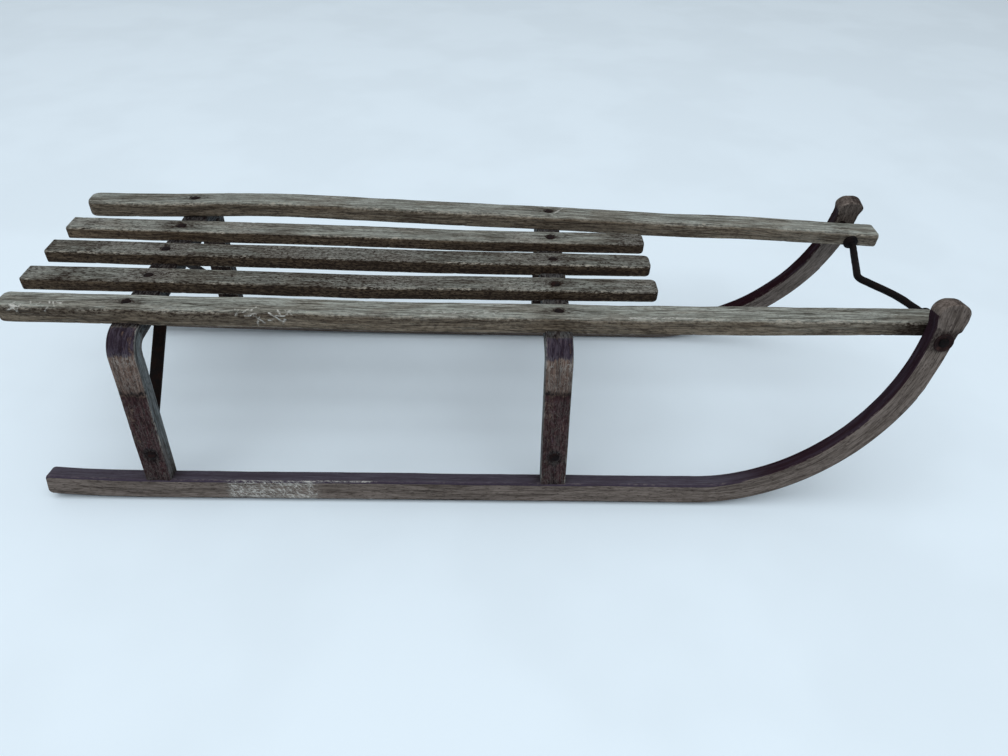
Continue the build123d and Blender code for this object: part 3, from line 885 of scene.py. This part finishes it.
slat_width = 28.6
slat_thick = 12.3
slat_back = 134.5
slat_ahead = 116.0
slat_spacing = 55.3
slat_skew = {"left": (2.0, 0.0), "centre": (2.0, 2.8), "right": (0.0, 4.2)}
slat_shade = {"left": ((-30, 70, 0.3),), "centre": ((200, 120, 0.22),), "right": ((225, 60, 0.34),)}
slat_smear = {"left": -106.0, "centre": -78.0, "right": -86.0}
slat_dull = {"left": 0.2, "centre": 0.7, "right": 0.64}
slat_tip_grime = {"left": 0.75, "centre": 0.0, "right": 0.0}
slat_deeper = {"left": 2.8, "centre": 3.8, "right": 3.2}
slat_sag = {"left": ((340, 110, 1.6),), "centre": ((300, 120, 0.4),), "right": ((230, 100, 2.0),)}
slat_edge = 2.6
slat_sway, slat_sway_run = 0.7, 160.0
slat_nose = 7.5
slat_end_ease, slat_end_fall, slat_nose_fall = 1.3, 1.2, 2.4
bolt_round = 5.0
bolt_pan_depth = 1.3
bolt_halo = (15.0, 4.0)
bolt_halo_stretch = 2.4

seat_pale = (124, 110, 92)
seat_brown = (62, 51, 42)
seat_line = (31, 24, 19)
seat_grey = (140, 146, 143)
seat_rubbed_and_highlight = (156, 152, 142)
seat_dirt_and_shade = (37, 29, 24)
seat_soil = 0.16


def seat_wood():
    """Open grain, bleached where the mark says that a face looks up, brown and dirty elsewhere, and darkened by the
    painted shade that the marks place.
    """
    material, tree, shader = new_material("seat_wood")
    wood = grained(tree, seat_pale, seat_brown, seat_line)
    aged(tree, shader, wood, wood["Color"], seat_grey, seat_rubbed_and_highlight, seat_dirt_and_shade, seat_soil)
    return material


def on_seat(station, y, height):
    """Point of the seat's own frame, which falls to the front: along it, across it and square above it."""
    x = rear_bow_x + station * np.cos(seat_fall) + height * np.sin(seat_fall)
    z = seat_height - station * np.sin(seat_fall) + height * np.cos(seat_fall)
    return np.stack(np.broadcast_arrays(x, y, z), -1)


def bumps(places, station):
    """Sum of soft bumps along a bar, for its warp or its shade: each has a middle, a reach and a height."""
    return sum(height * bump(station - at, reach) for at, reach, height in places)


def bolt_marks(s, u, ny, spots):
    """Sinking and rust stain round the bolts: a shallow pan with a soft rim, and a halo drawn out along the grain."""
    relief, grime = 0.0, 0.0
    for spot in spots:
        near = np.hypot(s - spot, u)
        relief = relief - bolt_pan_depth * smooth(bolt_round + 1.8, bolt_round + 0.3, near) * (ny > 0.2)
        halo = smooth(*bolt_halo, np.hypot((s - spot) / bolt_halo_stretch, u))
        rim = smooth(bolt_round + 3, bolt_round + 1, near)
        grime = grime + (0.5 * halo + 0.6 * rim) * smooth(0.1, 0.8, ny)
    return relief, grime


seat_finish = seat_wood()
bolt_spots = (0.0, bow_gap)
bolt_places = []
for slat_name, y, seed in (("left", slat_spacing, 83), ("centre", 0.0, 97), ("right", -slat_spacing, 109)):
    start, stop = -slat_back, bow_gap + slat_ahead
    spots = [(spot, 13, 0.9) for spot in bolt_spots] + [(start, 5, 0.6), (stop, 9, 0.6)]
    along = crowded(start, stop, 1.9, spots)
    s = along[:, None]
    at_rear, at_front = slat_skew[slat_name]
    skewed = y + at_rear + (at_front - at_rear) * along / bow_gap
    sway = lattice_noise(along / slat_sway_run, 0, 0, seed) * slat_sway
    deeper = slat_deeper[slat_name] * (1 - 0.5 * smooth(bow_gap - 50, stop, along))
    sagged = bumps(slat_sag[slat_name], along) - 0.3 * lattice_noise(along / 130, 0, 0, seed + 5)
    line = on_seat(along, skewed + sway, (slat_thick - deeper) / 2 - sagged)
    side, up = carried(line, np.array([0, 1.0, 0]))
    half_w = slat_width / 2 - inset(along - start, slat_end_ease) - inset(stop - along, slat_nose)
    half_h = (slat_thick + deeper) / 2
    half_h = half_h - inset(along - start, slat_end_fall) - inset(stop - along, slat_nose_fall)
    section = bar_section(22, 8, 6)
    sx, sy, nx, ny = section
    relief, grime = bolt_marks(s, sx * slat_width / 2, ny, bolt_spots)
    points, marks = worn_bar(along, line, side, up, half_w, half_h, slat_edge, section, seed, relief)
    # Painted highlight: the slats' rubbed edges are strengthened to stand for a pale highlight along their arrises.
    marks["edge"] = 1.3 * marks["edge"]
    dull = slat_dull[slat_name]
    under, top = smooth(0.3, 0.9, -ny), smooth(0.0, 0.6, ny)
    # Painted shade: the sides are darkened, most towards their lower edge and least at the rear, for the shade
    # between the slats.
    flank = smooth(0.55, 1.0, np.abs(nx)) * (0.3 + 0.7 * smooth(-40, 110, s))
    flank = flank * (0.48 - 0.34 * dull + 0.32 * smooth(0.8, -0.8, sy))
    ends = smooth(9, 2, s - start) + smooth(9, 2, stop - s)
    smear = bump(s - slat_smear[slat_name] - 7 * sx, 7)
    tip = slat_tip_grime[slat_name] * smooth(70, 25, stop - s)
    marks["grime"] = grime + dull + 0.4 * under + flank + 0.3 * ends
    marks["grime"] = marks["grime"] + (0.5 * smear + tip + bumps(slat_shade[slat_name], s)) * top
    rubbed = smooth(0.15, 0.6, lattice_noise(s / 70, 0, 0, seed + 9))
    marks["scuff"] = 0.28 * rubbed * smooth(0.2, 0.9, ny)
    name = "slat_" + slat_name
    skin(name + "_wood", [(points, marks)], seat_finish, [name])
    bolt_places += [(0.0, y + at_rear, slat_thick), (bow_gap, y + at_front, slat_thick)]

# Rails: two long bars that edge the seat and run on to the horns, bent in and down ahead of the front bow.
# They are of the slats' wood, bolted down to the bows, rounded by hands and warped by weather.
# The right one has sprung out a little, is scratched, and is dented in a row.

rail_width = 29.5
rail_thick = 18.0
rail_back = {"left": 131.5, "right": 134.0}
rail_top_edge = 4.8
rail_low_edge = {"left": 3.4, "right": 2.2}
rail_deeper = {"left": 2.0, "right": 2.4}
rail_wider = {"left": 1.8, "right": 0.0}
rail_warp = {
    "left": ((105, 125, 2.6), (715, 70, 1.3), (-150, 60, 1.0)),
    "right": ((-130, 85, -2.0), (160, 70, 0.8), (430, 110, -1.2)),
}
rail_bowed = {"left": ((115, 130, 4.0), (715, 70, 1.8)), "right": ((-130, 85, 1.2), (160, 70, -0.6))}
rail_sway, rail_sway_run = 0.5, 140.0
rail_sprung = {"left": 0.0, "right": 5.4}
spring_lead, spring_run = 53.0, 57.0
rail_end_round = {"left": 12.0, "right": 9.0}
rail_nose_round = 4.0
rail_end_fall, rail_nose_fall = 4.0, 2.6
rail_nose_ahead = 3.0
rail_waist_station = 155.0
rail_turn_ahead = 87.0
rail_overhang = 27.0
rail_straight = 80.0
rail_droop = {"left": 6.0, "right": 2.4}
dent_spacing = 11.0
dent_depth = 1.3
dent_run = (296.0, 392.0)
rail_dull = {"left": (0.16, -0.12), "right": (0.06, 0.12)}
rail_shade = {"left": (0.12, 0.0), "right": (0.62, -0.4)}
rail_horn_darkening = {"left": 0.3, "right": 1.1}
rail_flat_half, rail_side_half = 10.0, 5.5
scribbles = (((-118, -64), (5, 16), 14), ((106, 176), (9, 24), 17))
scribble_slants, scribble_halves = (-1.2, 1.2), (1, 5.5)
edge_line = (566.0, 10.8, 0.0, 38.0)
long_scratch = (462.0, -3.0, 0.92, 17.0)
rail_fine = {"left": [(bow_gap + 12, 16, 0.9)], "right": [(-90, 34, 1.0), (141, 40, 1.0)]}
crack_runs = ((54, 94, 0.1, 0.62), (78, 128, -0.2, 0.3), (102, 158, 0.3, 0.75))

low, high = box_mm("rail_left")
rail_front = high[0] - rear_bow_x
rail_tip_y = low[1] + rail_width / 2
rail_waist_y = high[1] - rail_width / 2
rod_station = rail_front - rail_overhang
rail_turn = bow_gap + rail_turn_ahead
counter_end = rail_front - rail_straight
turn_angle = 2 * np.arctan((rail_waist_y - rail_tip_y) / (counter_end - rail_waist_station))
sweep_radius = (rail_turn - rail_waist_station) / np.sin(turn_angle)
counter_radius = (counter_end - rail_turn) / np.sin(turn_angle)
droop_start = bow_gap + bow_width


def rail_y(side_name, station):
    """Plan of a rail: an arc widest at the waist, a counter arc from the turn, then straight to the front.

    A rail that has sprung out adds half a sine wave between the front bow and its horn, and its warp adds bumps."""
    sweep = rail_waist_y - sweep_radius + np.sqrt(sweep_radius**2 - (station - rail_waist_station) ** 2)
    left = np.clip(counter_end - station, 0, None)
    counter = rail_tip_y + counter_radius - np.sqrt(np.clip(counter_radius**2 - left**2, 0, None))
    wave = np.sin(np.pi * np.clip((station - bow_gap + spring_lead) / (rod_station - bow_gap + spring_lead), 0, 1))
    sprung = rail_sprung[side_name] * wave * smooth(bow_gap - spring_lead, droop_start + spring_run, station)
    return np.where(station < rail_turn, sweep, counter) + sprung + bumps(rail_bowed[side_name], station)


def rail_drop(side_name, station):
    """Side view of a rail: straight as far as the front bow, then one long arc downwards."""
    droop = rail_droop[side_name]
    droop_radius = ((rod_station - droop_start) ** 2 + droop**2) / (2 * droop)
    ahead = np.clip(station - droop_start, 0, None)
    return droop_radius - np.sqrt(droop_radius**2 - ahead**2)


for side_name, sign, seed in (("left", 1, 127), ("right", -1, 139)):
    start, stop = -rail_back[side_name], rail_front + rail_nose_ahead
    spots = [(spot, 13, 0.9) for spot in bolt_spots] + [(start, 10, 0.7), (stop, 10, 0.7)]
    spots += rail_fine[side_name]
    along = crowded(start, stop, 1.9, spots)
    s = along[:, None]
    sway = rail_sway * lattice_noise(along / rail_sway_run, 0, 0, seed)
    deeper = rail_deeper[side_name] * smooth(rod_station, rod_station - 200, along)
    lift = bumps(rail_warp[side_name], along) - rail_drop(side_name, along)
    line = on_seat(along, sign * rail_y(side_name, along) + sway, (rail_thick - deeper) / 2 + lift)
    side, up = carried(line, np.array([0, 1.0, 0]))
    half_w = (rail_width + rail_wider[side_name]) / 2
    half_w = half_w - inset(along - start, rail_end_round[side_name]) - inset(stop - along, rail_nose_round)
    half_h = (rail_thick + deeper) / 2
    half_h = half_h - inset(along - start, rail_end_fall) - inset(stop - along, rail_nose_fall)
    section = bar_section(18, 8, 9)
    sx, sy, nx, ny = section
    relief, grime = bolt_marks(s, sx * rail_width / 2, ny, bolt_spots)
    scuff = 0.16 * smooth(0.2, 0.7, lattice_noise(s / 55, sx, sy, seed + 8)) * smooth(-0.2, 0.6, ny)
    if side_name == "right":
        outer_top = bump(sx * sign - 0.55, 0.35) * smooth(0.3, 0.9, ny)
        in_run = band(dent_run[0], dent_run[0] + 8, dent_run[1] - 8, dent_run[1], s)
        tooth = np.mod(s + 3 * np.abs(sx), dent_spacing) / dent_spacing
        dents = in_run * outer_top * smooth(0.0, 0.2, tooth) * (1 - tooth)
        relief = relief - dent_depth * dents
        scuff = scuff + 0.85 * in_run * outer_top * smooth(0.75, 0.2, tooth)
        chance = np.random.default_rng(seed)
        strokes = [edge_line]
        for stations, girths, count in scribbles:
            strokes += random_scratches(chance, count, (stations, girths, scribble_slants, scribble_halves))
        grime = grime + 0.4 * bump(s - 14, 8) * bump(sx, 0.5) * (ny > 0.3)
        for begin, end, inner, outer in crack_runs:
            crack = np.abs(sx * sign - np.interp(s, (begin, end), (inner, outer))) * rail_width / 2
            crack = smooth(1.3, 0.3, crack) * band(begin, begin + 8, end - 8, end, s)
            grime = grime + 0.9 * crack * (ny > 0.3)
    else:
        strokes = [long_scratch]
    girth = rail_flat_half * sx * sign + rail_top_edge * np.arccos(np.clip(ny, 0, 1)) + rail_side_half * (1 - sy)
    girth = np.where(nx * sign < -0.1, -20, girth)
    scuff = scuff + 1.45 * scratched(s, girth, strokes)
    edge = np.interp(sy, (-1, 1), (rail_low_edge[side_name], rail_top_edge))
    points, marks = worn_bar(along, line, side, up, half_w, half_h, edge, section, seed, relief)
    under, flank = smooth(0.3, 0.9, -ny), smooth(0.5, 0.95, np.abs(nx))
    far_ahead = smooth(620, 760, s)
    marks["face_up"] = np.maximum(marks["face_up"], (0.16 + 0.12 * far_ahead) * flank)
    dull, dull_ahead = rail_dull[side_name]
    # Painted shade on the flanks, strongest towards their top and at the right rail's rear, fading far ahead; near
    # the horn the flanks are darker still.
    shade, shade_ahead = rail_shade[side_name]
    shade = (shade + shade_ahead * smooth(60, 300, s)) * (1 - far_ahead) * smooth(-1.0, 0.8, sy)
    shade = shade + rail_horn_darkening[side_name] * smooth(rod_station - 60, rod_station - 5, s)
    marks["grime"] = grime + dull + dull_ahead * far_ahead + 0.4 * under + flank * shade
    marks["scuff"] = scuff
    name = "rail_" + side_name
    skin(name + "_wood", [(points, marks)], seat_finish, [name])
    for spot in bolt_spots:
        height = rail_thick + float(bumps(rail_warp[side_name], spot))
        bolt_places.append((spot, sign * float(rail_y(side_name, spot)), height))

# Seat bolts: round-headed coach bolts of iron, dark with rust, sunk a little into slats and rails.
# Each goes down through the bow, and a square nut holds it there or under the stay.

bolt_sunk = 1.0
bolt_head = ((5.0, -3.0), (5.0, -0.1), (4.8, 0.3), (4.1, 0.7), (2.9, 1.0), (1.4, 1.12))
bolt_end = ((2.9, 0.0), (2.9, 6.2), (2.3, 6.8))
nut_half = 5.6
nut_thick = 4.2
nut_edge = 0.8
nut_turn = 17.0

bolt_dark = (14, 9, 11)
bolt_rust = (34, 20, 19)

bolt_finish = rusted("bolt_iron", bolt_dark, bolt_rust)
seat_up = np.array([np.sin(seat_fall), 0, np.cos(seat_fall)])
levels = np.array([0.0, 0.5, 1.0, nut_thick - 1.0, nut_thick - 0.4, nut_thick])
half = nut_half - np.array([0.2, 0.0, 0.0, 0.0, 0.2, 0.6])
shells = []
for spot, y, height in bolt_places:
    shells.append((turned(on_seat(spot, y, height - bolt_sunk), seat_up, bolt_head, 30), {}))
    below = on_seat(spot, y, -bow_thick - (stay_thick if abs(y) < stay_half_flat else 0.0))
    line = below - levels[:, None] * seat_up
    turn = np.radians(nut_turn * np.sin(spot + y))
    side = np.tile([np.cos(turn), np.sin(turn), 0.0], (len(levels), 1))
    up = np.tile([-np.sin(turn), np.cos(turn), 0.0], (len(levels), 1))
    nut, _ = worn_bar(levels, line, side, up, half, half, nut_edge, bar_section(3, 3, 3), 11, wear=0.0)
    shells.append((nut, {}))
    shells.append((turned(below, -seat_up, bolt_end, 16), {}))
skin("seat_bolts", shells, bolt_finish)

# Leg rivets: iron, one through each leg and the stay behind it, of the same dark rust as the bolts.
# The round head stands outside, in a dark pan, and the other end is hammered over on the stay.

rivet_sunk = 0.9
rivet_head = ((5.6, -3.0), (5.6, 0.0), (5.2, 0.5), (4.2, 1.0), (2.7, 1.4), (1.3, 1.6))
rivet_back = ((4.4, -1.0), (4.4, 0.3), (3.6, 1.3), (2.0, 2.0))

shells = []
for place, axis in rivet_places:
    axis = axis / np.linalg.norm(axis)
    shells.append((turned(place - rivet_sunk * axis, axis, rivet_head, 28), {}))
    shells.append((turned(place - (bow_thick + stay_thick) * axis, -axis, rivet_back, 20), {}))
skin("leg_rivets", shells, bolt_finish)

# Tie rod: round iron bar from horn to horn through both rails, bent to a vee in the middle for the tow cord.
# It is shouldered by collars inside the rails, spaced by bushes and riveted over washers outside the horns.

rod_round = 4.3
rod_rough, rod_rough_run = 0.16, 7.0
rod_vee_back = 26.5
rod_vee_left = 2.0
rod_vee_drop = 5.0
rod_vee_bend = 13.0
rod_swing = (7.5, -34.0, -6.5)
rod_swing_bend = 55.0
rod_askew = (8.0, 0.0, 3.5)
rod_bend = 12.0
collar_round = 9.0
collar_neck = 6.2
collar_thick = 5.0
bush_round = {"left": 4.9, "right": 8.0}
bush_length = 7.0
washer_round = {"left": 8.6, "right": 10.25}
washer_thick = 1.6
rod_gap = 0.3
right_hole_shift = (3.0, 0.0, -1.5)
rod_head = ((5.4, -1.4), (5.3, -0.3), (4.6, 0.4), (3.2, 0.9), (1.6, 1.1))

washer_dark = (28, 18, 19)
washer_rust = (54, 38, 36)
rod_dark = (8, 7, 9)
rod_rust = (22, 16, 16)

rail_mid_z = seat_height + rail_thick / 2 * np.cos(seat_fall) - rail_droop["left"] - rod_station * np.tan(seat_fall)
collar_depth = runner_width + bush_length + rail_width / np.cos(runner_lean)
collar_depth = collar_depth + collar_neck * np.tan(runner_lean) + rod_gap
bend_depth = collar_depth + collar_thick + rod_bend / 2
washer_finish = rusted("washer_iron", washer_dark, washer_rust)
rod_finish = rusted("rod_iron", rod_dark, rod_rust)
rod_ends = {}
for side_name, sign in (("left", 1), ("right", -1)):
    outside = outer_side(sign)
    centre = middle_mm("tie_washer_" + side_name) - outside * washer_thick / 2
    inner = centre - outside * collar_depth
    if side_name == "right":
        centre = centre + right_hole_shift
        inner = inner + rod_askew
    rod_ends[side_name] = (centre, outside)
    collar = ((collar_round, -1.6), (collar_round, 1.4), (collar_round - 0.9, 2.2), (collar_neck, 2.6))
    collar += ((collar_neck - 0.3, collar_thick - 0.8), (collar_neck - 1.2, collar_thick))
    shells = [(turned(inner, -outside, collar, 28), {})]
    skin("tie_collar_" + side_name, shells, rod_finish)
    rim = washer_round[side_name]
    washer = ((rim - 0.4, -0.8), (rim, 0.3), (rim, washer_thick - 0.4), (rim - 0.7, washer_thick))
    washer += ((rim - 1.5, washer_thick - 0.2), (rim - 2.6, washer_thick - 1.1), (rim - 4.0, washer_thick - 1.2))
    shells = [(turned(centre, outside, washer, 36), {})]
    skin("tie_washer_" + side_name + "_iron", shells, washer_finish, ["tie_washer_" + side_name])
    wall = bush_round[side_name]
    bush = ((wall, -0.5), (wall, bush_length + 1.5))
    shells = [(turned(centre - outside * runner_width, -outside, bush, 32), {})]
    skin("tie_bush_" + side_name + "_iron", shells, bolt_finish, ["tie_bush_" + side_name])

left_hole, left_out = rod_ends["left"]
right_hole, right_out = rod_ends["right"]
vee = np.array([rod_station - rod_vee_back + rear_bow_x, rod_vee_left, rail_mid_z - rod_vee_drop])
swing = np.array([rod_station + rear_bow_x, 0, rail_mid_z]) + rod_swing
corners = [left_hole + left_out * washer_thick, left_hole - left_out * bend_depth, vee, swing]
corners += [right_hole - right_out * bend_depth + rod_askew, right_hole + right_out * washer_thick]
path, distance = rounded_path(corners, (rod_bend, rod_vee_bend, rod_swing_bend, rod_bend))
along = crowded(0, distance[-1], 1.6, [])
line = followed(path, distance, along)
side, up = carried(line, np.array([1.0, 0.0, 0.35]))
angle = np.linspace(0, 2 * np.pi, 24, endpoint=False)
rough = rod_rough * lattice_noise(along[:, None] / rod_rough_run, np.cos(angle) * 1.2, np.sin(angle) * 1.2, 149)
radius = (rod_round + rough)[..., None]
rod = line[:, None] + radius * (np.cos(angle)[:, None] * side[:, None] + np.sin(angle)[:, None] * up[:, None])
shells = [(rod, {})]
shells += [(turned(hole + out * washer_thick, out, rod_head, 28), {}) for hole, out in rod_ends.values()]
skin("tie_rod_iron", shells, rod_finish, ["tie_rod"])

# Studio: a plain pale table, one large soft lamp overhead and an even dome of light.
# The camera stands where it stood for the photograph, off the sled's right side, and looks down on it.

table_colour = (222, 238, 250)


def plain_floor():
    """Pale table top, matt, with faint cloudy unevenness."""
    material, tree, shader = new_material("table_top", 0.2)
    place = add_node(tree, "TexCoord").outputs["Object"]
    cloud = fractal(tree, place, (3.0, 3.0, 3.0), 3.0, 0.5)
    pale = tint(*table_colour)
    shade = tuple(c * 0.96 for c in pale[:3]) + (1.0,)
    tree.links.new(mixed(tree, ranged(tree, cloud, 0.4, 0.6), pale, shade), shader.inputs["Base Color"])
    tree.links.new(ranged(tree, cloud, 0.3, 0.7, 0.7, 0.8), shader.inputs["Roughness"])
    return material


table_half = 6.0
floor_mesh = bpy.data.meshes.new("table_top")
corners = np.array([(-1, -1, 0), (1, -1, 0), (1, 1, 0), (-1, 1, 0)]) * table_half
floor_mesh.from_pydata(corners, [], [(0, 1, 2, 3)])
floor = bpy.data.objects.new("table_top", floor_mesh)
floor_mesh.materials.append(plain_floor())
bpy.context.scene.collection.objects.link(floor)

dome = bpy.data.worlds.new("dome")
bpy.context.scene.world = dome
dome.use_nodes = True
dome.node_tree.nodes["Background"].inputs["Color"].default_value = (1.0, 1.0, 1.0, 1.0)
dome.node_tree.nodes["Background"].inputs["Strength"].default_value = 0.55

lamp_place = (-0.3, -0.9, 3.4)
lamp_tilt = np.radians(14)
lamp = bpy.data.lights.new("softbox", "AREA")
lamp.shape = "RECTANGLE"
lamp.size, lamp.size_y = 5.0, 4.0
lamp.energy = 92.0
softbox = bpy.data.objects.new("softbox", lamp)
softbox.matrix_world = Matrix.Translation(lamp_place) @ Matrix.Rotation(lamp_tilt, 4, "X")
bpy.context.scene.collection.objects.link(softbox)

camera_place = (10.39, -766.27, 689.62)
camera_pitch, camera_yaw, camera_roll = np.radians([39.91, 1.38, 1.65])
focal_pixels, image_width = 747.08, 1008

level_ahead = np.array([np.sin(camera_yaw), np.cos(camera_yaw), 0.0])
ahead = level_ahead * np.cos(camera_pitch) - (0, 0, np.sin(camera_pitch))
level_right = np.array([np.cos(camera_yaw), -np.sin(camera_yaw), 0.0])
level_up = np.cross(level_right, ahead)
right = level_right * np.cos(camera_roll) + level_up * np.sin(camera_roll)
above = level_up * np.cos(camera_roll) - level_right * np.sin(camera_roll)
lens = bpy.data.cameras.new("photo_camera")
lens.sensor_width = 36.0
lens.lens = lens.sensor_width * focal_pixels / image_width
camera = bpy.data.objects.new("photo_camera", lens)
bpy.context.scene.collection.objects.link(camera)
aim = Matrix((right, above, -ahead)).transposed().to_4x4()
camera.matrix_world = Matrix.Translation(np.array(camera_place) * MILLIMETRE) @ aim
bpy.context.scene.camera = camera
bpy.context.scene.view_settings.view_transform = "Standard"
